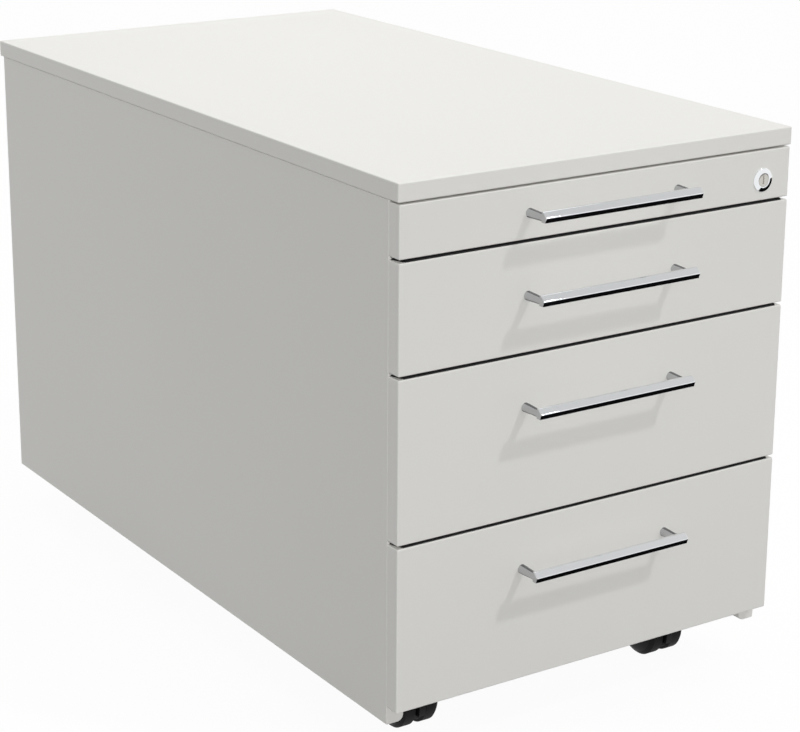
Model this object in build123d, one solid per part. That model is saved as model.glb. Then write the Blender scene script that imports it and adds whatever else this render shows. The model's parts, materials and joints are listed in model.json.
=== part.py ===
from build123d import *
import math
import os

# White steel drawer pedestal on castors, with four drawers on ball slides and a central lock.
# Millimetres. +X is to the right of a person who faces the fronts, +Y to the back, +Z up.
# The origin is on the floor, in the middle of the box round the whole object.

# Driving dimensions of the outside
body_width = 428.0
top_side_overhang = 1.2
top_depth = 800.0
top_rear_overhang = 6.0
total_height = 538.0
top_thickness = 16.7
side_thickness = 18.0
side_bottom = 45.0
side_lower_bend = 6.0
sheet = 1.0
edge_bend = 1.2
closing_edge_bend = 0.4

# Fronts, counted from the top
unit_start = 523.5
height_unit = 50.7
front_units = (1, 2, 3, 3)
front_thickness = 16.0
front_gap = 3.0
top_gap = 1.8
bottom_front_drop = 5.0
closing_gap = 0.4
running_play = 0.06

# Handles
handle_reach = 30.0
handle_spacing = 163.0
handle_length = 173.0
handle_depth = 7.0
handle_rise = 6.6
handle_fall = 3.1
handle_ridge = 1.9
handle_crown = 4.7
handle_undercut = 1.7
handle_round = 0.6
handle_end_round = 0.4
handle_leg_radii = (4.4, 3.2)
handle_leg_root = 3.0
handle_hole_depth = 7.5
handle_drops = (23.5, 47.0, 47.0, 47.0)
screw_radius = 2.0
screw_hole_radius = 2.2
screw_head_radius = 3.75
screw_head_height = 2.4
screw_end_gap = 0.5

# Drawer tubs
tub_heights = (26.0, 65.0, 115.0, 115.0)
tub_rises = (4.0, 9.5, 9.5, 12.5)
tub_back = 362.0
tub_bend = 2.5
hem_thickness = 2.0
hem_height = 8.0

# Pencil tray in the top drawer
tray_front_gap = 5.0
tray_length = 330.0
tray_depth = 22.0
tray_wall = 2.5
tray_side_gap = 0.5
tray_corner = 6.0
pocket_corner = 5.0
tray_draft = 4.0
trough_length = 75.0
bin_split = 60.0

# Ball slides: u runs from the mounting face to the drawer, v is the height from the middle
slide_front = -345.0
slide_length = 700.0
slide_rises = (13.0, 30.0, 30.0, 30.0)
slide_room = 12.5
rail_sheet = 1.2
cabinet_rail_half = 13.5
cabinet_rail_depth = 10.0
drawer_rail_half = 8.7
drawer_rail_start = 1.6
rail_bend = 0.9
rail_mouth_half = 10.0
ball_radius = 1.7
ball_u = 5.2
ball_v = 10.5
ball_pitch = 60.0
balls_per_strip = 3
strip_start = -80.0
strip_length = 170.0
strip_width = (3.3, 8.3)
strip_sheet = 0.8
drawer_travel = 525.0

# Hangers that carry the slides of the tray drawer
hanger_face = 184.0
hanger_sheet = 1.5

# Base and back
base_bottom = 62.0
base_thickness = 9.0
base_back = 389.3
back_face = 404.0

# Central lock
lock_x = 182.0
lock_drop = 27.5
lock_plug_radius = 6.0
lock_bore_radius = 6.05
lock_barrel_radius = 8.5
lock_barrel_tail = 4.2
lock_hole_play = 0.1
collar_radius = 11.0
collar_edge = 0.9
collar_height = 2.3
collar_brim = (7.5, 8.0)
collar_dish_radius = 6.8
collar_dish_depth = 0.8
lock_nut_radius = 10.0
lock_nut_length = 3.6
keyway = (2.0, 14.0, 8.0)
crank_disc_radius = 9.0
crank_disc_thickness = 2.0
crank_disc_gap = 0.3
crank_pin_length = 10.0
crank_radius = 6.0
crank_start_degrees = -45.0
crank_pin_radius = 2.0
bar_face = 198.0
bar_thickness = 4.0
bar_width = 11.0
bar_y = -355.0
bar_bottom = 88.3
bar_top = 508.0
groove_width = 14.0
groove_depth = 7.5
groove_bottom = 88.0
groove_top = 518.5
guide_heights = (180.0, 340.0, 455.0)
guide_height = 16.0
guide_clearance = 0.35
stud_radius = 3.0
stud_tip = 186.0
stud_rise = 15.2
driver_wall = 4.0
driver_slot_play = 0.6
tray_stud_height = 501.0
catch_rise = 20.2
catch_height = 8.0
catch_play = 1.5
catch_tip = 193.5
catch_sheet = 2.0
hook_sheet = 1.5
hook_width = 7.0
hook_side_gap = 1.0
hook_rise = 15.0

# Castors
wheel_radius = 25.0
wheel_inner = 4.5
wheel_outer = 24.5
wheel_shoulder = (8.0, 11.0)
wheel_shoulder_bulge = (1.3, 0.95)
wheel_dish = (6.0, 10.5)
wheel_dish_depth = 2.5
wheel_dish_slope = 1.5
wheel_inner_bevel = 1.0
axle_end_gap = 0.5
castor_trail = 22.0
castor_inset = 68.0
castor_ys = {"front": -320.0, "rear": 336.0}
castor_plate = 42.0
castor_plate_thickness = 2.5
castor_plate_corner = 5.0
castor_screw_offset = 15.0
castor_screw_head = (3.5, 2.2)
castor_screw_grip = 3.0
king_pin_radius = 5.0
king_pin_bottom = 46.0
king_pin_end_gap = 0.5
axle_radius = 3.0
hood_inner = 26.5
hood_outer = 28.5
hood_half_width = 24.0
hood_web_half = 3.5
hood_web_drop = 9.0
hood_skirt_rise = 6.0
hood_boss_wall = 6.0
hood_round = 0.8
hood_top = 59.2

# Places that follow from the driving dimensions
half_width = body_width / 2
inner_x = half_width - side_thickness
front_y = handle_reach - (top_depth + handle_reach) / 2
front_back = front_y + front_thickness
carcass_front = front_back + closing_gap
top_back = front_y + top_depth
side_back = top_back - top_rear_overhang
under_top = total_height - top_thickness
slide_back = slide_front + slide_length

front_limits = []
level = unit_start
for units in front_units:
    front_limits.append((level - units * height_unit, level - front_gap))
    level -= units * height_unit
front_limits[0] = (front_limits[0][0], under_top - top_gap)
front_limits[-1] = (front_limits[-1][0] - bottom_front_drop, front_limits[-1][1])

handle_zs = [high - drop for (low, high), drop in zip(front_limits, handle_drops)]
tub_bottoms = [low + rise for (low, high), rise in zip(front_limits, tub_rises)]
slide_zs = [bottom + rise for bottom, rise in zip(tub_bottoms, slide_rises)]
slide_faces = [hanger_face, inner_x, inner_x, inner_x]
lock_z = front_limits[0][1] - lock_drop
lock_hole_radius = lock_barrel_radius + lock_hole_play
crank_pin_x = lock_x + crank_radius * math.cos(math.radians(crank_start_degrees))
crank_pin_z = lock_z + crank_radius * math.sin(math.radians(crank_start_degrees))


def block(x, y, z):
    """A box between pairs of limits."""
    pairs = (x, y, z)
    middle = [(low + high) / 2 for low, high in pairs]
    return Pos(*middle) * Box(*[high - low for low, high in pairs])


def inset(pair, amount):
    """A pair of limits, drawn in at both ends."""
    return (pair[0] + amount, pair[1] - amount)


def rod(start, direction, radius, length):
    """A round rod from a point along a direction."""
    return extrude(Plane(origin=start, z_dir=direction) * Circle(radius), length)


def facing_front(y):
    """A section plane across the depth, with X to the right and Z up, facing the front."""
    return Plane(origin=(0, y, 0), x_dir=(1, 0, 0), z_dir=(0, -1, 0))


def facing_right(x):
    """A section plane across the width, with Y to the right and Z up, facing the right."""
    return Plane(origin=(x, 0, 0), x_dir=(0, 1, 0), z_dir=(1, 0, 0))


def both_sides(shape):
    """A shape on the right and its mirror image on the left."""
    return [shape, mirror(shape, about=Plane.YZ)]


def save(name, *shapes):
    """Write the solids of one sub-part."""
    solids = [solid for shape in shapes for solid in shape.solids()]
    export_step(Compound(solids), f"parts/{name}.step")


# Carcass panels
def double_sheet(x, y, z):
    """A flat panel folded from sheet, hollow inside."""
    skin = fillet(block(x, y, z).edges(), edge_bend)
    return skin - block(inset(x, sheet), inset(y, sheet), inset(z, sheet))


def side_slab(x, y, z, lower_bend):
    """An upright slab on the right whose inner lower edge is bent round."""
    plate = block(x, y, z)
    inner_lower = plate.edges().filter_by(Axis.Y).group_by(Axis.Z)[0].sort_by(Axis.X)[0]
    return fillet(inner_lower, lower_bend)


def side_panel(grooved):
    """The right side panel, with or without the groove that the lock bar runs in."""
    x, y, z = (inner_x, half_width), (carcass_front, side_back), (side_bottom, under_top)
    skin = side_slab(x, y, z, side_lower_bend)
    rim = skin.faces().sort_by(Axis.X)[-1].edges().sort_by(Axis.Y)
    skin = fillet(rim[1:], edge_bend)
    skin = fillet(skin.faces().sort_by(Axis.X)[-1].edges().sort_by(Axis.Y)[0], closing_edge_bend)
    hollow = side_slab(inset(x, sheet), inset(y, sheet), inset(z, sheet), side_lower_bend - sheet)
    if grooved:
        half = groove_width / 2
        groove_y, groove_z = (bar_y - half, bar_y + half), (groove_bottom, groove_top)
        groove_x = (inner_x - sheet, inner_x + groove_depth)
        hollow -= block(inset(groove_x, -sheet), inset(groove_y, -sheet), inset(groove_z, -sheet))
        skin -= block(groove_x, groove_y, groove_z)
    return skin - hollow


def base_panel():
    """The floor of the carcass, with the holes for the castor screws in its lower skin."""
    x, y = (-inner_x, inner_x), (carcass_front + sheet, base_back)
    panel = double_sheet(x, y, (base_bottom, base_bottom + base_thickness))
    for place_x, place_y in castor_screw_places():
        panel -= rod((place_x, place_y, base_bottom), (0, 0, 1), screw_hole_radius, sheet)
    return panel


def back_panel():
    """The back of the carcass."""
    return double_sheet((-inner_x, inner_x), (base_back, back_face), (base_bottom, under_top))


def tray_hanger():
    """The right hanger: a sheet angle under the top that carries a slide of the tray drawer."""
    bottom = slide_zs[0] - cabinet_rail_half
    outer = hanger_face + hanger_sheet
    upright = block((hanger_face, outer), (slide_front, slide_back), (bottom, under_top))
    flange = block((outer, inner_x), (slide_front, slide_back), (under_top - hanger_sheet, under_top))
    return upright + flange


# Ball slides
def rolled_rail(face, middle_z, line):
    """A strip rolled to a section on the right, given as points from the mounting face inwards."""
    points = [(face - u, middle_z + v) for u, v in line]
    strip = offset(FilletPolyline(*points, radius=rail_bend), amount=rail_sheet / 2, side=Side.BOTH)
    return extrude(facing_front(slide_back) * make_face(strip), slide_length)


def cabinet_rail(face, z):
    """The outer rail: a channel with turned-in lips, fixed to the carcass."""
    skin = rail_sheet / 2
    wall, top, lip = skin, cabinet_rail_half - skin, cabinet_rail_depth - skin
    end = rail_mouth_half + skin
    return rolled_rail(face, z, [(lip, end), (lip, top), (wall, top), (wall, -top), (lip, -top), (lip, -end)])


def drawer_rail(face, z):
    """The inner rail: a channel with raised ball lips, fixed to the tub."""
    skin = rail_sheet / 2
    wall, top, lip = slide_room - skin, drawer_rail_half - skin, drawer_rail_start + skin
    end = ball_v - strip_sheet / 2 - skin
    return rolled_rail(face, z, [(lip, end), (lip, top), (wall, top), (wall, -top), (lip, -top), (lip, -end)])


def ball_strip(face, z, way):
    """One strip of balls above or below the inner rail."""
    middle = z + way * ball_v
    x = (face - strip_width[1], face - strip_width[0])
    y = (strip_start, strip_start + strip_length)
    strip = block(x, y, (middle - strip_sheet / 2, middle + strip_sheet / 2))
    first = strip_start + (strip_length - ball_pitch * (balls_per_strip - 1)) / 2
    for count in range(balls_per_strip):
        strip += Pos(face - ball_u, first + count * ball_pitch, middle) * Sphere(ball_radius)
    return strip


# Drawers
def drawer_front(index):
    """A hollow front with the handle holes, and the lock hole in the top one."""
    x, y, z = (-half_width, half_width), (front_y, front_back), front_limits[index]
    rings = block(x, y, z).edges().group_by(Axis.Y)
    front = fillet(rings[0] + rings[1], edge_bend)
    front -= block(inset(x, sheet), inset(y, sheet), inset(z, sheet))
    for hole_x in (-handle_spacing / 2, handle_spacing / 2):
        front -= rod((hole_x, front_back, handle_zs[index]), (0, -1, 0), screw_hole_radius, front_thickness)
    if index == 0:
        front -= rod((lock_x, front_back, lock_z), (0, -1, 0), lock_hole_radius, front_thickness)
    return front


def folded_box(x, y, z, bend):
    """A block with bent upright and lower edges, from which a tub is folded."""
    blank = block(x, y, z)
    return fillet(blank.edges().filter_by(Axis.Z) + blank.edges().group_by(Axis.Z)[0], bend)


def drawer_tub(index):
    """The sheets of a tub with bent edges and hemmed rims, and the tab that the lock bar blocks."""
    half = slide_faces[index] - slide_room
    low = tub_bottoms[index]
    high = low + tub_heights[index]
    x, y = (-half, half), (front_back, tub_back)
    hem_z, wall_z = (high - hem_height, high), (low + sheet, high)
    tub = folded_box(x, y, (low, high), tub_bend)
    tub -= folded_box(inset(x, sheet), inset(y, sheet), (low + sheet, hem_z[0]), tub_bend - sheet)
    tub -= block(inset(x, hem_thickness), inset(y, hem_thickness), hem_z)
    for hole_x in (-handle_spacing / 2, handle_spacing / 2):
        start = (hole_x, front_back + hem_thickness, handle_zs[index])
        tub -= rod(start, (0, -1, 0), screw_hole_radius, hem_thickness)
    between = inset(x, tub_bend)
    sheets = [
        tub & block(x, y, (low, low + sheet)),
        tub & block((-half, tub_bend - half), y, wall_z),
        tub & block((half - tub_bend, half), y, wall_z),
        tub & block(between, (front_back, front_back + tub_bend), wall_z),
        tub & block(between, (tub_back - tub_bend, tub_back), wall_z),
    ]
    if index > 0:
        catch_y = bar_y + stud_radius + catch_play
        bottom = slide_zs[index] + catch_rise
        tab_y, tab_z = (catch_y, catch_y + catch_sheet), (bottom, bottom + catch_height)
        sheets.append(block((half, catch_tip), tab_y, tab_z))
    return sheets


def bow_handle(z):
    """A ridged grip bar on two tapered round legs that take the screws."""
    ridge_y = front_y - handle_reach
    back_y = ridge_y + handle_depth
    section = [
        (back_y, z - handle_fall),
        (back_y, z + handle_rise),
        (ridge_y + handle_crown, z + handle_rise),
        (ridge_y, z + handle_ridge),
        (ridge_y + handle_undercut, z - handle_fall),
    ]
    half = handle_length / 2
    handle = extrude(facing_right(-half) * make_face(Polyline(*section, close=True)), handle_length)
    handle = fillet(handle.edges().filter_by(Axis.X), handle_round)
    handle = fillet(handle.faces().filter_by(Axis.X).edges(), handle_end_round)
    foot, root = handle_leg_radii
    leg_length = handle_reach - handle_depth + handle_leg_root
    taper = math.degrees(math.atan((foot - root) / leg_length))
    for x in (-handle_spacing / 2, handle_spacing / 2):
        leg_plane = Plane(origin=(x, front_y, z), z_dir=(0, -1, 0))
        handle += extrude(leg_plane * Circle(foot), leg_length, taper=taper)
    for x in (-handle_spacing / 2, handle_spacing / 2):
        handle -= rod((x, front_y, z), (0, -1, 0), screw_radius + running_play, handle_hole_depth)
    return handle


def handle_screws(index):
    """The two screws that hold tub, front and handle together."""
    hem_low = tub_bottoms[index] + tub_heights[index] - hem_height
    wall = hem_thickness if handle_zs[index] > hem_low else sheet
    seat = front_back + wall
    end = front_y - handle_hole_depth + screw_end_gap
    screws = []
    for x in (-handle_spacing / 2, handle_spacing / 2):
        head = rod((x, seat, handle_zs[index]), (0, 1, 0), screw_head_radius, screw_head_height)
        head = chamfer(head.edges().group_by(Axis.Y)[-1], screw_head_height / 2)
        screws.append(head + rod((x, seat, handle_zs[index]), (0, -1, 0), screw_radius, seat - end))
    return screws


def pencil_tray():
    """A moulded tray with a pen trough across the front and two bins behind it."""
    half = hanger_face - slide_room - hem_thickness - tray_side_gap
    front = front_back + tray_front_gap
    back = front + tray_length
    floor = tub_bottoms[0] + sheet
    rim = floor + tray_depth
    trough_back = front + trough_length
    tray = fillet(block((-half, half), (front, back), (floor, rim)).edges().filter_by(Axis.Z), tray_corner)
    pockets = [
        ((-half + tray_wall, half - tray_wall), (front + tray_wall, trough_back)),
        ((-half + tray_wall, bin_split - tray_wall), (trough_back + tray_wall, back - tray_wall)),
        ((bin_split, half - tray_wall), (trough_back + tray_wall, back - tray_wall)),
    ]
    for (left, right), (near, far) in pockets:
        mouth = RectangleRounded(right - left, far - near, pocket_corner)
        mouth = Pos((left + right) / 2, (near + far) / 2, rim) * mouth
        pocket = extrude(mouth, tray_depth - tray_wall, dir=(0, 0, -1), taper=tray_draft)
        tray -= pocket
    return tray


# Central lock
def turned(points, x, z):
    """A solid turned about the depth axis through a point, from radius and depth points."""
    half_section = Polyline(*[(x + radius, y, z) for radius, y in points], close=True)
    return revolve(make_face(half_section), axis=Axis((x, 0, z), (0, 1, 0)))


def lock_housing():
    """The barrel, with a bevelled collar that is dished round the plug."""
    bore, barrel = lock_bore_radius, lock_barrel_radius
    brim = front_y - collar_height
    dish = brim + collar_dish_depth
    tail = front_back + lock_barrel_tail
    outline = [
        (bore, dish),
        (collar_dish_radius, dish),
        (collar_brim[0], brim),
        (collar_brim[1], brim),
        (collar_radius, front_y - collar_edge),
        (collar_radius, front_y),
        (barrel, front_y),
        (barrel, tail),
        (bore, tail),
    ]
    return turned(outline, lock_x, lock_z)


def lock_nut():
    """The ring nut that clamps the barrel behind the front."""
    inner, outer = lock_barrel_radius + lock_hole_play / 2, lock_nut_radius
    end = front_back + lock_nut_length
    return turned([(inner, front_back), (outer, front_back), (outer, end), (inner, end)], lock_x, lock_z)


def lock_plug():
    """The turning plug with its keyway, crank disc and drive pin."""
    face = front_y - collar_height + collar_dish_depth
    disc = front_back + lock_barrel_tail + crank_disc_gap
    disc_back = disc + crank_disc_thickness
    pin_length = crank_disc_thickness + crank_pin_length
    plug = rod((lock_x, disc, lock_z), (0, -1, 0), lock_plug_radius, disc - face)
    plug += rod((lock_x, disc_back, lock_z), (0, -1, 0), crank_disc_radius, crank_disc_thickness)
    plug += rod((crank_pin_x, disc + pin_length, crank_pin_z), (0, -1, 0), crank_pin_radius, pin_length)
    width, depth, height = keyway
    slot_x, slot_z = (lock_x - width / 2, lock_x + width / 2), (lock_z - height / 2, lock_z + height / 2)
    return plug - block(slot_x, (face, face + depth), slot_z)


def lock_bar():
    """The flat bar that runs up and down in the side panel."""
    half = bar_width / 2
    return block((bar_face, bar_face + bar_thickness), (bar_y - half, bar_y + half), (bar_bottom, bar_top))


def lock_bar_studs():
    """The studs that block the drawers when the bar is lifted."""
    heights = [tray_stud_height] + [z + stud_rise for z in slide_zs[1:]]
    return [rod((stud_tip, bar_y, z), (1, 0, 0), stud_radius, bar_face - stud_tip) for z in heights]


def lock_bar_driver():
    """The fork on the bar that the drive pin lifts."""
    slot_half = crank_pin_radius + driver_slot_play
    outer_half = slot_half + driver_wall
    x, y = (lock_x + crank_pin_radius, bar_face), (bar_y - bar_width / 2, bar_y + bar_width / 2)
    fork = block(x, y, (crank_pin_z - outer_half, crank_pin_z + outer_half))
    slot_x = (x[0], lock_x + crank_radius + crank_pin_radius + driver_slot_play)
    return fork - block(slot_x, y, (crank_pin_z - slot_half, crank_pin_z + slot_half))


def lock_bar_guides():
    """Clips in the groove that keep the bar in line."""
    half, room = groove_width / 2, bar_width / 2 + guide_clearance
    guides = []
    for low in guide_heights:
        z = (low, low + guide_height)
        clip_x = (inner_x + guide_clearance, inner_x + groove_depth)
        clip = block(clip_x, (bar_y - half, bar_y + half), z)
        bar_x = (bar_face - guide_clearance, bar_face + bar_thickness + guide_clearance)
        guides.append(clip - block(bar_x, (bar_y - room, bar_y + room), z))
    return guides


def tray_drawer_catch():
    """The hook behind the top front that the lock bar blocks."""
    hook_y = bar_y + stud_radius + catch_play
    top = tray_stud_height + hook_rise
    foot = tray_stud_height + stud_radius
    nose = foot + catch_sheet
    skin = hook_sheet / 2
    near, far, upper = front_back + skin, hook_y + skin, top - skin
    line = [(near, foot), (near, upper), (far, upper), (far, nose)]
    strip = offset(FilletPolyline(*line, radius=hook_sheet), amount=skin, side=Side.BOTH)
    return extrude(facing_right(stud_tip + hook_side_gap) * make_face(strip), hook_width)


# Castors
def castor_places():
    """Name and swivel axis of each castor."""
    side_x = half_width - castor_inset
    for end, y in castor_ys.items():
        for side, x in (("left", -side_x), ("right", side_x)):
            yield f"{end}_{side}", x, y


def castor_screw_places():
    """Where the castor screws go up into the base."""
    offsets = (-castor_screw_offset, castor_screw_offset)
    for name, x, y in castor_places():
        for step_x in offsets:
            for step_y in offsets:
                yield x + step_x, y + step_y


def castor_socket(x, y):
    """The plate that is screwed to the base, with the king pin riveted into it."""
    bottom = base_bottom - castor_plate_thickness
    outline = RectangleRounded(castor_plate, castor_plate, castor_plate_corner)
    plate = Pos(x, y, bottom) * extrude(outline, castor_plate_thickness)
    for step_x in (-castor_screw_offset, castor_screw_offset):
        for step_y in (-castor_screw_offset, castor_screw_offset):
            start = (x + step_x, y + step_y, bottom)
            plate -= rod(start, (0, 0, 1), screw_hole_radius, castor_plate_thickness)
    return plate + rod((x, y, king_pin_bottom), (0, 0, 1), king_pin_radius, bottom - king_pin_bottom)


def castor_screw(x, y):
    """A round-headed screw, head down."""
    seat = base_bottom - castor_plate_thickness
    radius, height = castor_screw_head
    head = rod((x, y, seat), (0, 0, -1), radius, height)
    head = chamfer(head.edges().group_by(Axis.Z)[0], height / 2)
    length = castor_plate_thickness + sheet + castor_screw_grip
    return head + rod((x, y, seat), (0, 0, 1), screw_radius, length)


def across(x, y, radius, half_length):
    """A cylinder along the axle of a castor."""
    start = (x - half_length, y + castor_trail, wheel_radius)
    return rod(start, (1, 0, 0), radius, 2 * half_length)


def castor_hood(x, y):
    """The swivelling body: a web between the wheels, a cover over them and the king pin boss."""
    skirt = wheel_radius + hood_skirt_rise
    span_x = (x - hood_outer, x + hood_outer)
    span_y = (y + castor_trail - hood_outer, y + castor_trail + hood_outer)
    cover = across(x, y, hood_outer, hood_half_width)
    cover = fillet(cover.edges(), hood_round) - across(x, y, hood_inner, hood_half_width)
    web = across(x, y, hood_outer - hood_round, hood_web_half)
    web &= block(span_x, span_y, (wheel_radius - hood_web_drop, hood_top))
    boss_radius = king_pin_radius + hood_boss_wall
    boss = rod((x, y, skirt), (0, 0, 1), boss_radius, hood_top - skirt)
    boss = fillet(boss.edges().group_by(Axis.Z)[-1], hood_round)
    wheel_room = across(x, y, hood_inner, hood_half_width) - across(x, y, hood_inner, hood_web_half)
    hood = (cover & block(span_x, span_y, (skirt, hood_top))) + web + (boss - wheel_room)
    bore_bottom = king_pin_bottom - king_pin_end_gap
    hood -= rod((x, y, bore_bottom), (0, 0, 1), king_pin_radius + running_play, hood_top - bore_bottom)
    return hood - across(x, y, axle_radius + running_play / 2, hood_web_half)


def castor_wheel(x, y, way):
    """One of the twin wheels, with a domed shoulder and a dished outer face."""
    inner, outer, rim = wheel_inner, wheel_outer, wheel_radius
    bore = axle_radius + running_play
    dish = outer - wheel_dish_depth
    flat, low = outer - wheel_shoulder[0], rim - wheel_shoulder[1]
    crest = ((flat + outer) / 2 + wheel_shoulder_bulge[0], (rim + low) / 2 + wheel_shoulder_bulge[1])
    bevel, slope = wheel_inner_bevel, wheel_dish_slope
    outline = [(inner, bore), (inner, rim - bevel), (inner + bevel, rim), (flat, rim)]
    rounding = ThreePointArc((flat, rim), crest, (outer, low))
    face = [(outer, low), (outer, wheel_dish[1] + slope), (dish, wheel_dish[1]), (dish, wheel_dish[0])]
    face += [(outer, wheel_dish[0] - slope), (outer, bore)]
    edges = Polyline(*outline) + rounding + Polyline(*face) + Line((outer, bore), (inner, bore))
    half_section = Plane.XZ * make_face(edges)
    wheel = revolve(half_section, axis=Axis.X)
    if way < 0:
        wheel = mirror(wheel, about=Plane.YZ)
    return Pos(x, y + castor_trail, wheel_radius) * wheel


os.makedirs("parts", exist_ok=True)

top_x = (-half_width - top_side_overhang, half_width + top_side_overhang)
save("top_panel", double_sheet(top_x, (front_y, top_back), (under_top, total_height)))
save("right_side_panel", side_panel(True))
save("left_side_panel", mirror(side_panel(False), about=Plane.YZ))
save("base_panel", base_panel())
save("back_panel", back_panel())
save("tray_hangers", *both_sides(tray_hanger()))
save("cabinet_rails", *[s for f, z in zip(slide_faces, slide_zs) for s in both_sides(cabinet_rail(f, z))])

for index in range(len(front_units)):
    name = f"drawer_{index + 1}"
    face, slide_z = slide_faces[index], slide_zs[index]
    strips = [ball_strip(face, slide_z, way) for way in (1, -1)]
    save(f"{name}_front", drawer_front(index))
    save(f"{name}_tub", *drawer_tub(index))
    save(f"{name}_handle", bow_handle(handle_zs[index]))
    save(f"{name}_handle_screws", *handle_screws(index))
    save(f"{name}_rails", *both_sides(drawer_rail(face, slide_z)))
    save(f"{name}_ball_strips", *[side for strip in strips for side in both_sides(strip)])

save("drawer_1_catch", tray_drawer_catch())
save("pencil_tray", pencil_tray())
save("lock_housing", lock_housing())
save("lock_nut", lock_nut())
save("lock_plug", lock_plug())
save("lock_bar", lock_bar())
save("lock_bar_studs", *lock_bar_studs())
save("lock_bar_driver", lock_bar_driver())
save("lock_bar_guides", *lock_bar_guides())

save("castor_sockets", *[castor_socket(x, y) for name, x, y in castor_places()])
save("castor_screws", *[castor_screw(x, y) for x, y in castor_screw_places()])
for place, x, y in castor_places():
    save(f"castor_{place}_hood", castor_hood(x, y))
    save(f"castor_{place}_axle", across(x, y, axle_radius, wheel_outer - axle_end_gap))
    save(f"castor_{place}_wheel_left", castor_wheel(x, y, -1))
    save(f"castor_{place}_wheel_right", castor_wheel(x, y, 1))
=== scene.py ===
import json
import math
import bmesh
import bpy
from mathutils import Matrix, Vector


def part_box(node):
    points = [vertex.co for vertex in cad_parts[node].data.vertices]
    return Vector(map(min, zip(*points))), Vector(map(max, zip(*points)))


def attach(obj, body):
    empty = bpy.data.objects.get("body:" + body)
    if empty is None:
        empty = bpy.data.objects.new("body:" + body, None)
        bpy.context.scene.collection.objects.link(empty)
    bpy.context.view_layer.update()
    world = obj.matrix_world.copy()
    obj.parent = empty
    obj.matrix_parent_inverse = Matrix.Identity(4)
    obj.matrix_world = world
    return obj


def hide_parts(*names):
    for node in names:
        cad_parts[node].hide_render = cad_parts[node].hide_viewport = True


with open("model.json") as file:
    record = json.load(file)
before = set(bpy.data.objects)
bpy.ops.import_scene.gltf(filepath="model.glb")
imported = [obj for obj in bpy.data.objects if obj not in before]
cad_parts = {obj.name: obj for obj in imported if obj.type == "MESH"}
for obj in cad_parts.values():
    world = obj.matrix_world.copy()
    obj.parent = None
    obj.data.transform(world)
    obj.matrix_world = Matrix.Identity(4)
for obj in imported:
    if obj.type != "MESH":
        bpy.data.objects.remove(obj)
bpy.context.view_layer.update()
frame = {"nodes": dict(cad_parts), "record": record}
mm = 0.001
hair = 0.1 * mm  # how near a point has to be to count as in place
castorCorners = ("front_left", "front_right", "rear_left", "rear_right")


# helpers for modelling by operators

def start(kind, stretch=(1, 1, 1), **settings):
    bpy.ops.object.select_all(action="DESELECT")
    getattr(bpy.ops.mesh, f"primitive_{kind}_add")(**settings)
    bpy.context.object.scale = stretch
    bpy.ops.object.transform_apply(location=True, rotation=True, scale=True)
    return bpy.context.object


def pick(obj, mode, test):  # in edit mode, selects what the test accepts
    bpy.ops.mesh.select_mode(type=mode)
    bpy.ops.mesh.select_all(action="DESELECT")
    mesh = bmesh.from_edit_mesh(obj.data)
    for part in {"VERT": mesh.verts, "EDGE": mesh.edges, "FACE": mesh.faces}[mode]:
        if test(part):
            part.select_set(True)
    mesh.select_flush_mode()
    bmesh.update_edit_mesh(obj.data)


def middle(part):  # the middle of an edge or a face
    total = Vector((0, 0, 0))
    for vert in part.verts:
        total += vert.co
    return total / len(part.verts)


def slide(offset):
    bpy.ops.transform.translate(value=offset)


def modify(obj, kind, **settings):
    modifier = obj.modifiers.new(kind.title(), kind)
    for key, value in settings.items():
        setattr(modifier, key, value)
    bpy.context.view_layer.objects.active = obj
    bpy.ops.object.modifier_apply(modifier=modifier.name)


def tidyMesh(obj, angle=35):  # merges, turns the faces outwards and smooths round edges
    bpy.ops.object.select_all(action="DESELECT")
    obj.select_set(True)
    bpy.context.view_layer.objects.active = obj
    bpy.ops.object.mode_set(mode="EDIT")
    bpy.ops.mesh.select_all(action="SELECT")
    bpy.ops.mesh.remove_doubles(threshold=0.002 * mm)
    bpy.ops.mesh.normals_make_consistent(inside=False)
    bpy.ops.object.mode_set(mode="OBJECT")
    bpy.ops.object.shade_smooth_by_angle(angle=math.radians(angle))


def joinTo(obj, others):
    bpy.ops.object.select_all(action="DESELECT")
    for part in others + [obj]:
        part.select_set(True)
    bpy.context.view_layer.objects.active = obj
    bpy.ops.object.join()


def turn(points, centre, axis, steps):  # draws half a section point by point and spins it round
    obj = start("plane", size=1 * mm, location=points[0])
    bpy.ops.object.mode_set(mode="EDIT")
    bpy.ops.mesh.select_all(action="SELECT")
    bpy.ops.mesh.merge(type="CENTER")
    bpy.ops.mesh.select_mode(type="VERT")
    bpy.ops.mesh.select_all(action="SELECT")
    for a, b in zip(points, points[1:]):
        bpy.ops.mesh.extrude_vertices_move(TRANSFORM_OT_translate={"value": Vector(b) - Vector(a)})
    bpy.ops.mesh.select_all(action="SELECT")
    bpy.ops.mesh.spin(steps=steps, angle=2 * math.pi, center=centre, axis=axis)
    bpy.ops.object.mode_set(mode="OBJECT")
    tidyMesh(obj)
    return obj


def copyPiece(obj, name, move):  # a copy with its own mesh, moved in the mesh
    twin = obj.copy()
    twin.data = obj.data.copy()
    twin.data.transform(move)
    twin.name = name
    bpy.context.collection.objects.link(twin)
    bpy.context.view_layer.update()
    return twin


def place(obj, name, body, slotName, *nodes):
    obj.name = name
    obj.data.name = name
    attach(obj, body)
    if nodes:
        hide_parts(*nodes)


def wear(obj, *materials):
    obj.data.materials.clear()
    for material in materials:
        obj.data.materials.append(material)


# helpers for materials

def linear(code):  # sRGB hex to linear
    parts = [int(code[i:i + 2], 16) / 255 for i in (1, 3, 5)]
    return [p / 12.92 if p <= 0.04045 else ((p + 0.055) / 1.055) ** 2.4 for p in parts] + [1.0]


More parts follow.
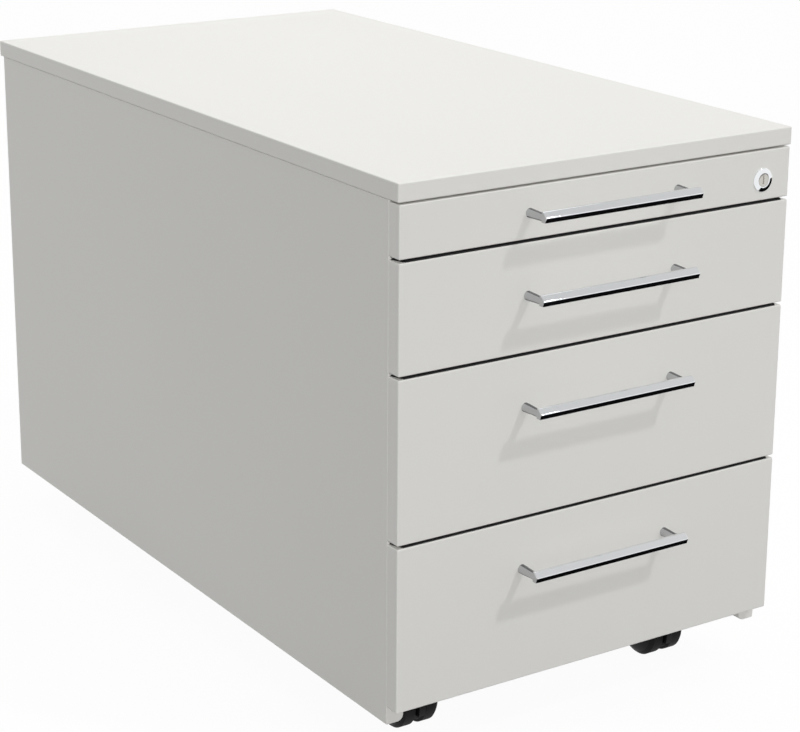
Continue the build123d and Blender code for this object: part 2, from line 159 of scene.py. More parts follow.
def node(tree, kind, settings=None, inputs=None, links=None):
    made = tree.nodes.new(kind)
    for key, value in (settings or {}).items():
        setattr(made, key, value)
    for key, value in (inputs or {}).items():
        made.inputs[key].default_value = value
    for key, source in (links or {}).items():
        tree.links.new(source, made.inputs[key])
    return made


def freshMaterial(name):
    material = bpy.data.materials.new(name)
    material.use_nodes = True
    material.node_tree.nodes.clear()
    return material, material.node_tree


# polyester powder coat on steel sheet: satin, with the faint peel of melted powder
powderCoat = {"peelMm": 2.2, "peelDepthMm": 0.012, "cloudMm": 260}


def powderCoatOn(name, colour, darker, roughness):
    material, tree = freshMaterial(name)
    coords = node(tree, "ShaderNodeTexCoord").outputs["Object"]
    peel = node(tree, "ShaderNodeTexNoise", None,
                {"Scale": 1 / (powderCoat["peelMm"] * mm), "Detail": 2.0, "Roughness": 0.45}, {"Vector": coords})
    cloud = node(tree, "ShaderNodeTexNoise", None,
                 {"Scale": 1 / (powderCoat["cloudMm"] * mm), "Detail": 3.0}, {"Vector": coords})
    tint = node(tree, "ShaderNodeMix", {"data_type": "RGBA"},
                {"A": linear(darker), "B": linear(colour)}, {"Factor": cloud.outputs["Fac"]})
    gloss = node(tree, "ShaderNodeMapRange", None,
                 {"From Min": 0.3, "From Max": 0.7, "To Min": roughness - 0.04, "To Max": roughness + 0.04},
                 {"Value": cloud.outputs["Fac"]})
    bump = node(tree, "ShaderNodeBump", None,
                {"Strength": 0.35, "Distance": powderCoat["peelDepthMm"] * mm}, {"Height": peel.outputs["Fac"]})
    shader = node(tree, "ShaderNodeBsdfPrincipled", None, {"IOR": 1.5},
                  {"Base Color": tint.outputs["Result"], "Roughness": gloss.outputs["Result"],
                   "Normal": bump.outputs["Normal"]})
    node(tree, "ShaderNodeOutputMaterial", None, None, {"Surface": shader.outputs["BSDF"]})
    return material


# bright chrome plate on a polished zinc casting: a mirror with a trace of polishing haze
chromePlate = {"hazeMm": 6.0}


def chromeOn(name, colour, low, high):
    material, tree = freshMaterial(name)
    coords = node(tree, "ShaderNodeTexCoord").outputs["Object"]
    haze = node(tree, "ShaderNodeTexNoise", None,
                {"Scale": 1 / (chromePlate["hazeMm"] * mm), "Detail": 4.0}, {"Vector": coords})
    rough = node(tree, "ShaderNodeMapRange", None,
                 {"From Min": 0.3, "From Max": 0.7, "To Min": low, "To Max": high},
                 {"Value": haze.outputs["Fac"]})
    shader = node(tree, "ShaderNodeBsdfPrincipled", None, {"Base Color": linear(colour), "Metallic": 1.0},
                  {"Roughness": rough.outputs["Result"]})
    node(tree, "ShaderNodeOutputMaterial", None, None, {"Surface": shader.outputs["BSDF"]})
    return material


# zinc plate on rolled strip: dull silver with fine lines along the rolling and a mottled passivation
zincPlate = {"lineMm": 0.7, "lineStretch": 0.02, "lineDepthMm": 0.02, "mottleMm": 14}


def zincOn(name, colour, darker, roughness):
    material, tree = freshMaterial(name)
    coords = node(tree, "ShaderNodeTexCoord").outputs["Object"]
    along = node(tree, "ShaderNodeMapping", None,
                 {"Scale": (1, zincPlate["lineStretch"], 1)}, {"Vector": coords})
    lines = node(tree, "ShaderNodeTexNoise", None,
                 {"Scale": 1 / (zincPlate["lineMm"] * mm), "Detail": 2.0}, {"Vector": along.outputs["Vector"]})
    mottle = node(tree, "ShaderNodeTexNoise", None,
                  {"Scale": 1 / (zincPlate["mottleMm"] * mm), "Detail": 5.0}, {"Vector": coords})
    tint = node(tree, "ShaderNodeMix", {"data_type": "RGBA"},
                {"A": linear(darker), "B": linear(colour)}, {"Factor": mottle.outputs["Fac"]})
    rough = node(tree, "ShaderNodeMapRange", None,
                 {"To Min": roughness - 0.1, "To Max": roughness + 0.1}, {"Value": lines.outputs["Fac"]})
    bump = node(tree, "ShaderNodeBump", None,
                {"Strength": 0.2, "Distance": zincPlate["lineDepthMm"] * mm}, {"Height": lines.outputs["Fac"]})
    shader = node(tree, "ShaderNodeBsdfPrincipled", None, {"Metallic": 1.0},
                  {"Base Color": tint.outputs["Result"], "Roughness": rough.outputs["Result"],
                   "Normal": bump.outputs["Normal"]})
    node(tree, "ShaderNodeOutputMaterial", None, None, {"Surface": shader.outputs["BSDF"]})
    return material


# moulded plastic with the fine grain of an eroded mould
mouldedPlastic = {"grainMm": 0.9, "grainDepthMm": 0.05, "cloudMm": 60}


def mouldedOn(name, colour, darker, roughness, ior=1.49):
    material, tree = freshMaterial(name)
    coords = node(tree, "ShaderNodeTexCoord").outputs["Object"]
    grain = node(tree, "ShaderNodeTexVoronoi", {"feature": "F1"},
                 {"Scale": 1 / (mouldedPlastic["grainMm"] * mm)}, {"Vector": coords})
    cloud = node(tree, "ShaderNodeTexNoise", None,
                 {"Scale": 1 / (mouldedPlastic["cloudMm"] * mm), "Detail": 4.0}, {"Vector": coords})
    tint = node(tree, "ShaderNodeMix", {"data_type": "RGBA"},
                {"A": linear(darker), "B": linear(colour)}, {"Factor": cloud.outputs["Fac"]})
    rough = node(tree, "ShaderNodeMapRange", None,
                 {"From Min": 0.3, "From Max": 0.7, "To Min": roughness - 0.07, "To Max": roughness + 0.07},
                 {"Value": cloud.outputs["Fac"]})
    bump = node(tree, "ShaderNodeBump", None,
                {"Strength": 0.3, "Distance": mouldedPlastic["grainDepthMm"] * mm},
                {"Height": grain.outputs["Distance"]})
    shader = node(tree, "ShaderNodeBsdfPrincipled", None, {"IOR": ior},
                  {"Base Color": tint.outputs["Result"], "Roughness": rough.outputs["Result"],
                   "Normal": bump.outputs["Normal"]})
    node(tree, "ShaderNodeOutputMaterial", None, None, {"Surface": shader.outputs["BSDF"]})
    return material


whiteCoat = powderCoatOn("white powder coat", "#E6E5DF", "#E3E2DC", 0.42)
greyCoat = powderCoatOn("light grey powder coat", "#B7BABB", "#B2B5B7", 0.45)
chrome = chromeOn("bright chrome plate", "#EDEFF1", 0.04, 0.09)
# the two darker chromes are painted shade on the handles' legs and ends, darkest on the legs' upper and lower faces
chromeLegPaintedShade = chromeOn("satin chrome darkened by painted shade", "#C2C4C6", 0.12, 0.2)
chromeFlankPaintedShade = chromeOn("rough chrome darkened by painted shade", "#6F7173", 0.22, 0.34)
nickel = chromeOn("satin nickel plate", "#C9C7C1", 0.16, 0.26)
zinc = zincOn("zinc plated strip", "#C2C5C8", "#A9ADB1", 0.38)
ballSteel = chromeOn("polished ball steel", "#D5D6D8", 0.08, 0.15)
darkTray = mouldedOn("dark polystyrene", "#2B2C2E", "#262729", 0.46)
blackNylon = mouldedOn("black glass-filled nylon", "#080808", "#060606", 0.5, 1.3)
tread = mouldedOn("black polyurethane tread", "#090909", "#070707", 0.66, 1.3)
# painted shade: black strips that darken the gaps between the fronts
gapShadeRubber = mouldedOn("black rubber for painted gap shade", "#121213", "#0F0F10", 0.82)
print("materials made")

# what each slot of the record is finished with
slotFinish = {"white_paint": whiteCoat, "grey_paint": greyCoat, "zinc_steel": zinc,
              "bright_steel": ballSteel, "chrome": chrome, "nickel": nickel, "dark_plastic": darkTray,
              "black_plastic": blackNylon, "wheel_plastic": tread}
for entry in frame["record"]["subparts"]:
    wear(frame["nodes"][entry["node"]], slotFinish[entry["material_slot"]])
print("finishes on the CAD nodes")


# bow handles: a ridged bar on two tapered round legs
bowHandle = {"reach": 30 * mm, "spacing": 163 * mm, "length": 173 * mm, "depth": 7 * mm, "rise": 6.6 * mm,
             "fall": 3.1 * mm, "ridge": 1.9 * mm, "crown": 4.7 * mm, "undercut": 1.7 * mm, "soften": 0.55 * mm,
             "legFoot": 4.4 * mm, "legRoot": 3.2 * mm, "rootDepth": 3 * mm, "footSoften": 0.5 * mm,
             "legStart": 0.2 * mm, "upperFlank": 0.9, "lowerFlank": -0.5, "endFacing": 0.8}


def makeHandle(drawer):
    style = bowHandle
    low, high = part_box(f"drawer_{drawer}_handle")
    axisZ = low.z + style["legFoot"]
    ridgeY = high.y - style["reach"]
    tall = style["rise"] + style["fall"]
    barMiddle = (-style["length"] / 2, ridgeY + style["depth"] / 2, axisZ - style["fall"] + tall / 2)
    bar = start("plane", size=1, location=barMiddle, rotation=(0, math.pi / 2, 0),
                stretch=(tall, style["depth"], 1))
    bpy.ops.object.mode_set(mode="EDIT")
    pick(bar, "EDGE", lambda e: abs(middle(e).y - ridgeY) < hair)
    bpy.ops.mesh.subdivide(number_cuts=1)
    pick(bar, "VERT", lambda v: v.co.y < ridgeY + hair and abs(v.co.z - barMiddle[2]) < 1 * mm)
    slide((0, 0, axisZ + style["ridge"] - barMiddle[2]))
    pick(bar, "VERT", lambda v: v.co.y < ridgeY + hair and v.co.z > axisZ + style["rise"] - hair)
    slide((0, style["crown"], 0))
    pick(bar, "VERT", lambda v: v.co.y < ridgeY + hair and v.co.z < axisZ - style["fall"] + hair)
    slide((0, style["undercut"], 0))
    bpy.ops.mesh.select_all(action="SELECT")
    bpy.ops.mesh.extrude_region_move(TRANSFORM_OT_translate={"value": (style["length"], 0, 0)})
    bpy.ops.object.mode_set(mode="OBJECT")
    tidyMesh(bar)
    modify(bar, "BEVEL", width=style["soften"], segments=5, limit_method="ANGLE", angle_limit=math.radians(20))
    legLength = style["reach"] - style["depth"] + style["rootDepth"]
    legs = []
    for x in (-style["spacing"] / 2, style["spacing"] / 2):
        leg = start("cone", vertices=64, radius1=style["legFoot"], radius2=style["legRoot"], depth=legLength,
                    location=(x, high.y - legLength / 2, axisZ), rotation=(math.pi / 2, 0, 0))
        bpy.ops.object.mode_set(mode="EDIT")
        pick(leg, "FACE", lambda f: f.normal.y > 0.9)
        bpy.ops.mesh.bevel(offset=style["footSoften"], segments=4)
        bpy.ops.object.mode_set(mode="OBJECT")
        legs.append(leg)
    joinTo(bar, legs)
    tidyMesh(bar)
    wear(bar, chrome, chromeLegPaintedShade, chromeFlankPaintedShade)
    for face in bar.data.polygons:  # legs and ends are less polished than the bar and darkened with painted shade, the legs' upper and lower faces most
        onLeg = face.center.y > ridgeY + style["depth"] + style["legStart"]
        flank = face.normal.z > style["upperFlank"] or face.normal.z < style["lowerFlank"]
        if onLeg or abs(face.normal.x) > style["endFacing"]:
            face.material_index = 2 if onLeg and flank else 1
    place(bar, f"drawer{drawer}BowHandle", f"drawer_{drawer}", "chrome", f"drawer_{drawer}_handle")


for drawerNumber in (1, 2, 3, 4):
    makeHandle(drawerNumber)
print("handles made")


# cylinder lock: a bevelled collar with a dish round the plug, and the plug with its keyway, crank disc and pin
cylinderLock = {"x": 182 * mm, "z": 492 * mm, "collar": 11 * mm, "edge": 0.9 * mm, "proud": 2.3 * mm,
                "brim": 7 * mm, "brimInner": 6.6 * mm, "rimDepth": 0.35 * mm, "dishDepth": 0.85 * mm,
                "bore": 6.05 * mm, "barrel": 8.5 * mm, "barrelTail": 20.2 * mm, "plug": 6 * mm,
                "plugFace": 4.2 * mm, "keyWidth": 1.8 * mm, "keyHeight": 7.4 * mm, "keyRound": 0.4 * mm,
                "shutterDepth": 0.9 * mm, "discStart": 20.5 * mm, "disc": 9 * mm, "discThick": 2 * mm,
                "pinOut": 6 * mm, "pin": 2 * mm, "pinEnd": 32.5 * mm, "pinRound": 0.4 * mm,
                "soften": 0.18 * mm, "steps": 96}


def makeLock():
    style = cylinderLock
    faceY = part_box("drawer_1_front")[0].y
    axisPoint = (style["x"], 0, style["z"])
    brimY = faceY - style["proud"]
    rimY = brimY + style["rimDepth"]
    dishY = brimY + style["dishDepth"]
    tailY = faceY + style["barrelTail"]
    collarLine = [(style["bore"], rimY), (style["brimInner"], brimY), (style["brim"], brimY),
                  (style["collar"], faceY - style["edge"]), (style["collar"], faceY), (style["barrel"], faceY),
                  (style["barrel"], tailY), (style["bore"], tailY), (style["bore"], rimY)]
    collar = turn([(style["x"] + r, y, style["z"]) for r, y in collarLine], axisPoint, (0, 1, 0), style["steps"])
    modify(collar, "BEVEL", width=style["soften"], segments=3, limit_method="ANGLE", angle_limit=math.radians(15))
    tidyMesh(collar, 24)
    modify(collar, "WEIGHTED_NORMAL", keep_sharp=True)
    wear(collar, chrome)
    place(collar, "lockCollar", "drawer_1", "chrome", "lock_housing")
    discY = faceY + style["discStart"]
    discBack = discY + style["discThick"]
    plugLine = [(0, dishY), (style["plugFace"], dishY), (style["plug"], rimY), (style["plug"], discY),
                (style["disc"], discY), (style["disc"], discBack), (0, discBack)]
    plug = turn([(style["x"] + r, y, style["z"]) for r, y in plugLine], axisPoint, (0, 1, 0), style["steps"])
    modify(plug, "BEVEL", width=style["soften"], segments=3, limit_method="ANGLE", angle_limit=math.radians(30))
    # the keyway, as deep as the shutter that closes it
    slot = start("cube", size=1, location=(style["x"], dishY, style["z"]),
                 stretch=(style["keyWidth"], 2 * style["shutterDepth"], style["keyHeight"]))
    bpy.ops.object.mode_set(mode="EDIT")
    pick(slot, "EDGE", lambda e: abs((e.verts[0].co - e.verts[1].co).y) > 1 * mm)
    bpy.ops.mesh.bevel(offset=style["keyRound"], segments=3)
    bpy.ops.object.mode_set(mode="OBJECT")
    modify(plug, "BOOLEAN", operation="DIFFERENCE", object=slot, solver="EXACT")
    bpy.data.objects.remove(slot)
    reach = style["pinOut"] * math.sqrt(0.5)  # the pin stands at 45 degrees
    pinLength = style["pinEnd"] - style["discStart"]
    pin = start("cylinder", vertices=32, radius=style["pin"], depth=pinLength, rotation=(math.pi / 2, 0, 0),
                location=(style["x"] + reach, discY + pinLength / 2, style["z"] - reach))
    modify(pin, "BEVEL", width=style["pinRound"], segments=3, limit_method="ANGLE", angle_limit=math.radians(40))
    joinTo(plug, [pin])
    tidyMesh(plug, 30)
    modify(plug, "WEIGHTED_NORMAL", keep_sharp=True)
    wear(plug, nickel)
    place(plug, "lockPlug", "key_plug", "nickel", "lock_plug")


makeLock()
print("lock made")


# gap shade strips: black rubber strips on the upper edges of the fronts, in the gaps above them, which paint the
# shade of those gaps
gapShadeStrip = {"halfWidth": 212.4 * mm, "setBack": 1.4 * mm, "depth": 13.5 * mm, "mitre": 5.4 * mm, "tall": 1.3 * mm,
            "lip": 0.4 * mm, "lipInset": 2.2 * mm, "soften": 0.3 * mm}


def makeGapShadeStrip(drawer):
    style = gapShadeStrip
    low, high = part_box(f"drawer_{drawer}_front")
    tall = style["tall"]
    strip = start("cube", size=1, location=(0, low.y + style["setBack"] + style["depth"] / 2, high.z + tall / 2),
                  stretch=(2 * style["halfWidth"], style["depth"], tall))
    bpy.ops.object.mode_set(mode="EDIT")
    for way in (-1, 1):  # the front corners are cut back
        pick(strip, "VERT", lambda v: v.co.x * way > 0 and v.co.y < low.y + style["depth"] / 2)
        slide((-way * style["mitre"], 0, 0))
    pick(strip, "FACE", lambda f: f.normal.z > 0.9)
    bpy.ops.mesh.inset(thickness=style["lipInset"])
    slide((0, 0, style["lip"]))  # the raised lip along the middle
    bpy.ops.object.mode_set(mode="OBJECT")
    modify(strip, "BEVEL", width=style["soften"], segments=3, limit_method="ANGLE", angle_limit=math.radians(25))
    tidyMesh(strip)
    wear(strip, gapShadeRubber)
    place(strip, f"drawer{drawer}GapShadeStrip", f"drawer_{drawer}", "dark_plastic")


for drawerNumber in (2, 3, 4):
    makeGapShadeStrip(drawerNumber)
print("gap shade strips made")


# pencil tray: one thin moulding with a pen trough and two bins, its corners, rims and floors rounded
pencilTray = {"wall": 2.5 * mm, "trough": 75 * mm, "split": 60 * mm, "draftDegrees": 4, "corner": 6 * mm,
              "pocketCorner": 5 * mm, "footRound": 1 * mm, "floorRound": 2.4 * mm, "rimRound": 0.8 * mm,
              "overcut": 5 * mm}


def makeTray():
    style = pencilTray
    low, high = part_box("pencil_tray")
    wall, split, trough = style["wall"], style["split"], low.y + style["trough"]
    floorZ = low.z + wall

    def roundedBlock(least, most, corner, lean, lowRound):  # has round corners and tapers downwards
        size = most - least
        block = start("cube", size=1, location=(least + most) / 2, stretch=size)
        bpy.ops.object.mode_set(mode="EDIT")
        pick(block, "EDGE", lambda e: abs(e.verts[0].co.z - e.verts[1].co.z) > 1 * mm)
        bpy.ops.mesh.bevel(offset=corner, segments=5, affect="EDGES")
        pick(block, "FACE", lambda f: f.normal.z < -0.9)
        bpy.ops.transform.resize(value=(1 - 2 * lean / size.x, 1 - 2 * lean / size.y, 1),
                                 center_override=(least + most) / 2)
        pick(block, "EDGE", lambda e: max(v.co.z for v in e.verts) < least.z + hair)
        bpy.ops.mesh.bevel(offset=lowRound, segments=4, affect="EDGES")
        return block

    tray = roundedBlock(low, high, style["corner"], 0, style["footRound"])
    bpy.ops.object.mode_set(mode="OBJECT")
    lean = (high.z - floorZ) * math.tan(math.radians(style["draftDegrees"]))
    for left, right, near, far in ((low.x + wall, high.x - wall, low.y + wall, trough),
                                   (low.x + wall, split - wall, trough + wall, high.y - wall),
                                   (split, high.x - wall, trough + wall, high.y - wall)):
        pocket = roundedBlock(Vector((left, near, floorZ)), Vector((right, far, high.z)), style["pocketCorner"],
                              lean, style["floorRound"])
        pick(pocket, "FACE", lambda f: f.normal.z > 0.9)
        bpy.ops.mesh.extrude_region_move(TRANSFORM_OT_translate={"value": (0, 0, style["overcut"])})
        bpy.ops.object.mode_set(mode="OBJECT")
        modify(tray, "BOOLEAN", object=pocket, operation="DIFFERENCE", solver="EXACT")
        bpy.data.objects.remove(pocket)
    modify(tray, "BEVEL", width=style["rimRound"], segments=3, limit_method="ANGLE",
           angle_limit=math.radians(60))
    tidyMesh(tray, 40)
    wear(tray, darkTray)
    place(tray, "pencilTray", "drawer_1", "dark_plastic", "pencil_tray")


makeTray()
print("pencil tray made")


# castor wheels: domed discs with a pressed-on tread, a dished face with pockets between the spokes, and a hub cap
castorWheel = {"radius": 25 * mm, "inner": 4.5 * mm, "outer": 24.5 * mm, "bore": 3.06 * mm, "treadDepth": 2.6 * mm,
               "treadSeat": 0.6 * mm, "treadStart": 0.5 * mm, "shoulder": (1.4 * mm, 1.2 * mm), "treadEnd": 16.5 * mm,
               "domeMm": ((18.6, 23.4), (20.6, 21.4), (22.4, 18.9), (23.7, 16.4), (24.4, 13.8)),
               "dish": (6 * mm, 10.5 * mm), "dishSlope": 1.5 * mm, "dishDepth": 2.5 * mm, "hubCap": 4.5 * mm,
               "hubStep": 0.3 * mm, "pockets": 5, "spokeShare": 0.3, "pocketRim": 0.5 * mm, "pocketLean": 0.4 * mm,
               "pocketDepth": 1.2 * mm, "soften": 0.3 * mm, "seam": 0.2 * mm, "steps": 80}


def makeWheel():  # with its middle at the origin and its outer face towards +X
    style = castorWheel
    rim, inner, outer, bore = style["radius"], style["inner"], style["outer"], style["bore"]
    dishInner, dishOuter = style["dish"]
    dished = outer - style["dishDepth"]
    treadLow = rim - style["treadDepth"]
    treadX = inner + style["treadStart"]
    along, below = style["shoulder"]
    line = [(inner, bore), (inner, treadLow - style["treadSeat"]), (treadX, treadLow), (treadX, rim - below),
            (inner + along, rim), (style["treadEnd"], rim)]
    line += [(x * mm, r * mm) for x, r in style["domeMm"]]
    line += [(outer, dishOuter + style["dishSlope"]), (dished, dishOuter), (dished, dishInner),
             (outer, style["hubCap"]), (outer - style["hubStep"], bore), (inner, bore)]
    wheel = turn([(x, 0, r) for x, r in line], (0, 0, 0), (1, 0, 0), style["steps"])
    bpy.ops.object.mode_set(mode="EDIT")
    pitch = 2 * math.pi / style["pockets"]
    for pocket in range(style["pockets"]):
        first, last = pocket * pitch, (pocket + 1 - style["spokeShare"]) * pitch

        def inPocket(face):
            spot = middle(face)
            reach = math.hypot(spot.y, spot.z)
            turnedBy = math.atan2(spot.z, spot.y) % (2 * math.pi)
            return abs(spot.x - dished) < hair / 2 and dishInner < reach < dishOuter and first < turnedBy < last

        pick(wheel, "FACE", inPocket)
        bpy.ops.mesh.inset(thickness=style["pocketRim"], depth=0)
        bpy.ops.mesh.inset(thickness=style["pocketLean"], depth=-style["pocketDepth"])
    bpy.ops.object.mode_set(mode="OBJECT")
    modify(wheel, "BEVEL", width=style["soften"], segments=2, limit_method="ANGLE", angle_limit=math.radians(28))
    tidyMesh(wheel, 40)
    wear(wheel, blackNylon, tread)
    for face in wheel.data.polygons:
        face.material_index = int(math.hypot(face.center.y, face.center.z) > treadLow - style["seam"])
    return wheel


wheelMaster = makeWheel()
for corner in castorCorners:
    hoodLow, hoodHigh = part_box(f"castor_{corner}_hood")
    for side, facingAngle in (("left", math.pi), ("right", 0)):
        wheelLow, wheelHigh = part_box(f"castor_{corner}_wheel_{side}")
        spot = Vector(((hoodLow.x + hoodHigh.x) / 2, (wheelLow.y + wheelHigh.y) / 2, castorWheel["radius"]))
        facing = Matrix.Rotation(facingAngle, 4, "Z")
        wheel = copyPiece(wheelMaster, "wheel", Matrix.Translation(spot) @ facing)
        cornerName = "".join(word.title() for word in corner.split("_"))
        place(wheel, f"castor{cornerName}{side.title()}Wheel", f"castor_{corner}_{side}_roller", "wheel_plastic",
              f"castor_{corner}_wheel_{side}")
bpy.data.objects.remove(wheelMaster)
print("castor wheels made")


# pan-head screws with a cross recess: in the handles, the castor plates and the back
panScrew = {"head": 3.75 * mm, "headTall": 2.4 * mm, "crownShares": ((1, 0.45), (0.86, 0.75), (0.55, 0.94)),
            "shank": 2 * mm, "tip": (0.4 * mm, 0.5 * mm), "recess": 0.9 * mm, "recessReach": 2.2 * mm,
            "recessDepth": 1.3 * mm, "recessTaper": 0.55, "turnStep": 0.7, "steps": 40}


def makeScrew(style, shankLength):  # seated at the origin, head towards +Z
    head, crown, shank = style["head"], style["headTall"], style["shank"]
    tipIn, tipUp = style["tip"]
    line = [(0, -shankLength), (shank - tipIn, -shankLength), (shank, -shankLength + tipUp), (shank, 0), (head, 0)]
    line += [(out * head, up * crown) for out, up in style["crownShares"]]
    line += [(0, crown)]
    screw = turn([(r, 0, z) for r, z in line], (0, 0, 0), (0, 0, 1), style["steps"])
    for angle in (0, math.pi / 2):
        groove = start("cube", size=1, location=(0, 0, crown), rotation=(0, 0, angle),
                       stretch=(2 * style["recessReach"], style["recess"], 2 * style["recessDepth"]))
        bpy.ops.object.mode_set(mode="EDIT")
        pick(groove, "FACE", lambda f: f.normal.z < -0.9)
        bpy.ops.transform.resize(value=(style["recessTaper"], style["recessTaper"], 1),
                                 center_override=(0, 0, crown - style["recessDepth"]))
        bpy.ops.object.mode_set(mode="OBJECT")
        modify(screw, "BOOLEAN", operation="DIFFERENCE", object=groove, solver="EXACT")
        bpy.data.objects.remove(groove)
    tidyMesh(screw, 30)
    wear(screw, zinc)
    return screw


def setScrews(master, name, body, places, turnBy, *nodes):  # one piece of several copies
    copies = []
    for i, spot in enumerate(places):
        screwed = Matrix.Rotation(panScrew["turnStep"] * i, 4, "Z")
        copies.append(copyPiece(master, f"{name}{i}", Matrix.Translation(spot) @ turnBy @ screwed))
    joinTo(copies[0], copies[1:])
    place(copies[0], name, body, "zinc_steel", *nodes)


towardsBack = Matrix.Rotation(-math.pi / 2, 4, "X")
towardsFloor = Matrix.Rotation(math.pi, 4, "X")
for drawerNumber in (1, 2, 3, 4):
    low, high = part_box(f"drawer_{drawerNumber}_handle_screws")
    seat = high.y - panScrew["headTall"]
    master = makeScrew(panScrew, seat - low.y)
    spots = [(x, seat, (low.z + high.z) / 2) for x in (-bowHandle["spacing"] / 2, bowHandle["spacing"] / 2)]
    setScrews(master, f"drawer{drawerNumber}HandleScrews", f"drawer_{drawerNumber}", spots, towardsBack,
              f"drawer_{drawerNumber}_handle_screws")
    bpy.data.objects.remove(master)

castorScrew = {**panScrew, "head": 3.5 * mm, "headTall": 2.2 * mm, "offset": 15 * mm, "grip": 6.5 * mm,
               "plate": 2.5 * mm, "pinY": {"front": -320 * mm, "rear": 336 * mm}}
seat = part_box("castor_sockets")[1].z - castorScrew["plate"]
master = makeScrew(castorScrew, castorScrew["grip"])
spots = []
for corner in castorCorners:
    hoodLow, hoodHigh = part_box(f"castor_{corner}_hood")
    middleX = (hoodLow.x + hoodHigh.x) / 2
    middleY = castorScrew["pinY"][corner.split("_")[0]]
    spots += [(middleX + i, middleY + j, seat) for i in (-castorScrew["offset"], castorScrew["offset"])
              for j in (-castorScrew["offset"], castorScrew["offset"])]
setScrews(master, "castorScrews", "carcass", spots, towardsFloor, "castor_screws")
bpy.data.objects.remove(master)

backScrew = {**panScrew, "head": 3.2 * mm, "headTall": 1.8 * mm, "sideInset": 9 * mm,
             "heights": (85 * mm, 290 * mm, 500 * mm), "lowXs": (-110 * mm, 0, 110 * mm), "lowRise": 9 * mm,
             "grip": 0.8 * mm}
low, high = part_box("back_panel")
master = makeScrew(backScrew, backScrew["grip"])
spots = [(x, high.y, z) for x in (low.x + backScrew["sideInset"], high.x - backScrew["sideInset"])
         for z in backScrew["heights"]]
spots += [(x, high.y, low.z + backScrew["lowRise"]) for x in backScrew["lowXs"]]
setScrews(master, "backPanelScrews", "carcass", spots, towardsBack)
bpy.data.objects.remove(master)
print("screws made")


# studio: pale floor, soft light, camera where the photograph was taken
camera = {"place": (-1.1935, -1.8748, 0.9606), "aim": (0.0404, 0.0, 0.3043), "rollDegrees": 0.368,
          "lensMm": 101.2, "sensorMm": 36, "clipEnd": 50,
          "shiftDown": 0.0825}  # the photograph is cropped below the lens axis
lens = bpy.data.cameras.new("camera")
lens.lens = camera["lensMm"]
lens.sensor_width = camera["sensorMm"]
lens.shift_y = -camera["shiftDown"]
lens.clip_end = camera["clipEnd"]
eye = bpy.data.objects.new("camera", lens)
bpy.context.scene.collection.objects.link(eye)
sight = (Vector(camera["aim"]) - Vector(camera["place"])).to_track_quat("-Z", "Y").to_matrix().to_4x4()
roll = Matrix.Rotation(math.radians(camera["rollDegrees"]), 4, "Z")
eye.matrix_world = Matrix.Translation(camera["place"]) @ sight @ roll
bpy.context.scene.camera = eye


def seenRays(tree):  # 1 for what is seen straight, in mirrors and through glass, and 0 for what only gives light
    rays = node(tree, "ShaderNodeLightPath")
    seen = node(tree, "ShaderNodeMath", {"operation": "MAXIMUM"}, None,
                {0: rays.outputs["Is Camera Ray"], 1: rays.outputs["Is Glossy Ray"]})
    return node(tree, "ShaderNodeMath", {"operation": "MAXIMUM"}, None,
                {0: seen.outputs[0], 1: rays.outputs["Is Transmission Ray"]}).outputs[0]


# the floor is seen almost white with a faint shadow, and gives back little light
floorSheet = {"size": 14.0, "colour": "#FAFAF8", "bounceColour": "#8E8E8B", "whiteShare": 0.95}
floor = start("plane", size=floorSheet["size"])
floor.name = "floor"
material, tree = freshMaterial("pale studio floor")
seen = seenRays(tree)
share = node(tree, "ShaderNodeMath", {"operation": "MULTIPLY"}, {1: floorSheet["whiteShare"]}, {0: seen})
tint = node(tree, "ShaderNodeMix", {"data_type": "RGBA"},
            {"A": linear(floorSheet["bounceColour"]), "B": linear(floorSheet["colour"])}, {"Factor": seen})
matt = node(tree, "ShaderNodeBsdfDiffuse", None, None, {"Color": tint.outputs["Result"]})
glow = node(tree, "ShaderNodeEmission", None, {"Color": (1, 1, 1, 1), "Strength": 1.0})
both = node(tree, "ShaderNodeMixShader", None, None, {0: share.outputs[0], 1: matt.outputs[0], 2: glow.outputs[0]})
node(tree, "ShaderNodeOutputMaterial", None, None, {"Surface": both.outputs[0]})
wear(floor, material)

# dark cards on the floor in front and to the right, which only mirrors show, give the chrome its black lower edges
darkCards = {"frontCard": ((-0.6, 2.6), (-0.86, -0.40)), "rightCard": ((0.5, 2.9), (-0.40, 0.1))}
cardLift = 2 * mm
feltCard, tree = freshMaterial("black felt card")
felt = node(tree, "ShaderNodeBsdfDiffuse", None, {"Color": linear("#0B0B0C")})
node(tree, "ShaderNodeOutputMaterial", None, None, {"Surface": felt.outputs[0]})
for name, (acrossX, acrossY) in darkCards.items():
    card = start("plane", size=1, location=(sum(acrossX) / 2, sum(acrossY) / 2, cardLift),
                 stretch=(acrossX[1] - acrossX[0], acrossY[1] - acrossY[0], 1))
    card.name = name
    wear(card, feltCard)
    for hiddenFrom in ("camera", "diffuse", "transmission", "shadow"):
        setattr(card, f"visible_{hiddenFrom}", False)

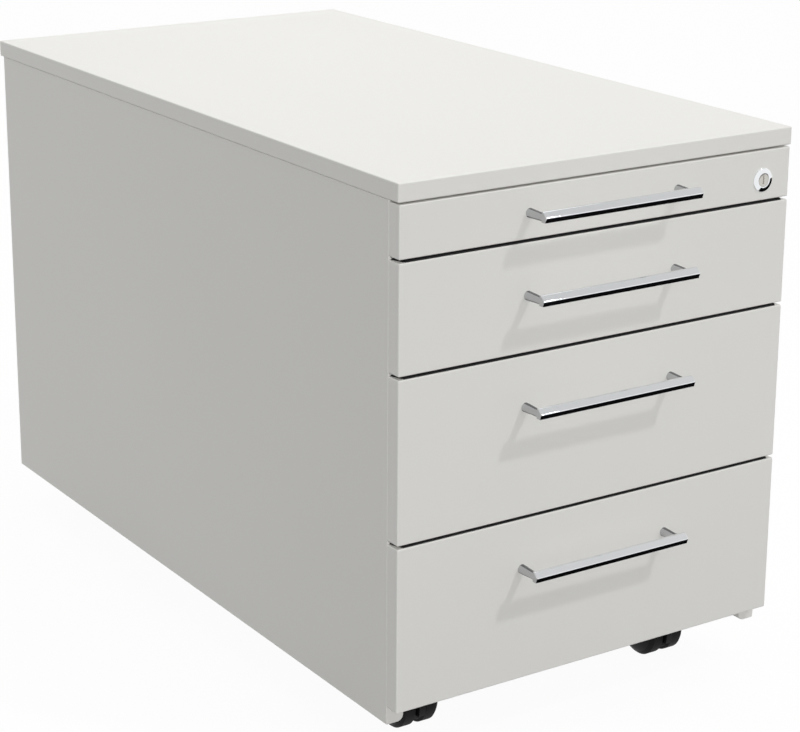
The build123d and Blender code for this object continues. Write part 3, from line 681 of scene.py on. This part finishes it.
# white all round, with a greyer ceiling that only mirrors show
studioSky = {"lightStrength": 0.31, "seenStrength": 1.0, "tint": (0.965, 0.97, 1.0),
             "overhead": 0.62, "overheadFrom": 0.4, "overheadTo": 0.8}
world = bpy.data.worlds.new("studio")
bpy.context.scene.world = world
world.use_nodes = True
tree = world.node_tree
tree.nodes.clear()
seen = seenRays(tree)
way = node(tree, "ShaderNodeSeparateXYZ", None, None, {0: node(tree, "ShaderNodeTexCoord").outputs["Generated"]})
shown = node(tree, "ShaderNodeMapRange", None,
             {"From Min": studioSky["overheadFrom"], "From Max": studioSky["overheadTo"],
              "To Min": studioSky["seenStrength"], "To Max": studioSky["overhead"]}, {"Value": way.outputs["Z"]})
level = node(tree, "ShaderNodeMapRange", None, {"To Min": studioSky["lightStrength"]},
             {"Value": seen, "To Max": shown.outputs["Result"]})
tint = node(tree, "ShaderNodeMix", {"data_type": "RGBA"},
            {"A": (*studioSky["tint"], 1), "B": (1, 1, 1, 1)}, {"Factor": seen})
sky = node(tree, "ShaderNodeBackground", None, None,
           {"Color": tint.outputs["Result"], "Strength": level.outputs["Result"]})
node(tree, "ShaderNodeOutputWorld", None, None, {"Surface": sky.outputs[0]})

# a small sun for the handles' shadows, two broad fills that leave no glare, and a soft box overhead
lamps = [
    {"name": "keySun", "kind": "SUN", "towards": (-22.75, 30.0, -45.9), "energy": 0.60, "angleDegrees": 4},
    {"name": "frontFill", "kind": "SUN", "towards": (45.5, 82.1, -34.5), "energy": 1.7, "angleDegrees": 12,
     "glare": False, "pastHandles": True, "tint": (0.97, 0.965, 1.0)},
    {"name": "backFill", "kind": "SUN", "towards": (-45.5, -82.1, -34.5), "energy": 0.9, "angleDegrees": 12,
     "glare": False},
    {"name": "topBox", "kind": "AREA", "place": (0.2, 0.2, 3.2), "aim": (0, 0, 0.5), "energy": 28, "size": 2.4},
]
# the front fill passes the handles, so that no shadow lies straight below their bars
handleGroup = bpy.data.collections.new("handlesPassedByFill")
for drawerNumber in (1, 2, 3, 4):
    handleGroup.objects.link(bpy.data.objects[f"drawer{drawerNumber}BowHandle"])
for member in handleGroup.collection_objects:
    member.light_linking.link_state = "EXCLUDE"
for lamp in lamps:
    light = bpy.data.lights.new(lamp["name"], lamp["kind"])
    light.energy = lamp["energy"]
    light.color = lamp.get("tint", (1, 1, 1))
    bulb = bpy.data.objects.new(lamp["name"], light)
    bulb.visible_glossy = lamp.get("glare", True)
    bpy.context.scene.collection.objects.link(bulb)
    if lamp.get("pastHandles"):
        bulb.light_linking.blocker_collection = handleGroup
    if lamp["kind"] == "SUN":
        light.angle = math.radians(lamp["angleDegrees"])
        bulb.rotation_euler = Vector(lamp["towards"]).to_track_quat("-Z", "Y").to_euler()
    else:
        light.size = lamp["size"]
        bulb.location = lamp["place"]
        bulb.rotation_euler = (Vector(lamp["aim"]) - Vector(lamp["place"])).to_track_quat("-Z", "Y").to_euler()
bpy.context.scene.view_settings.view_transform = "Standard"
print("studio set")
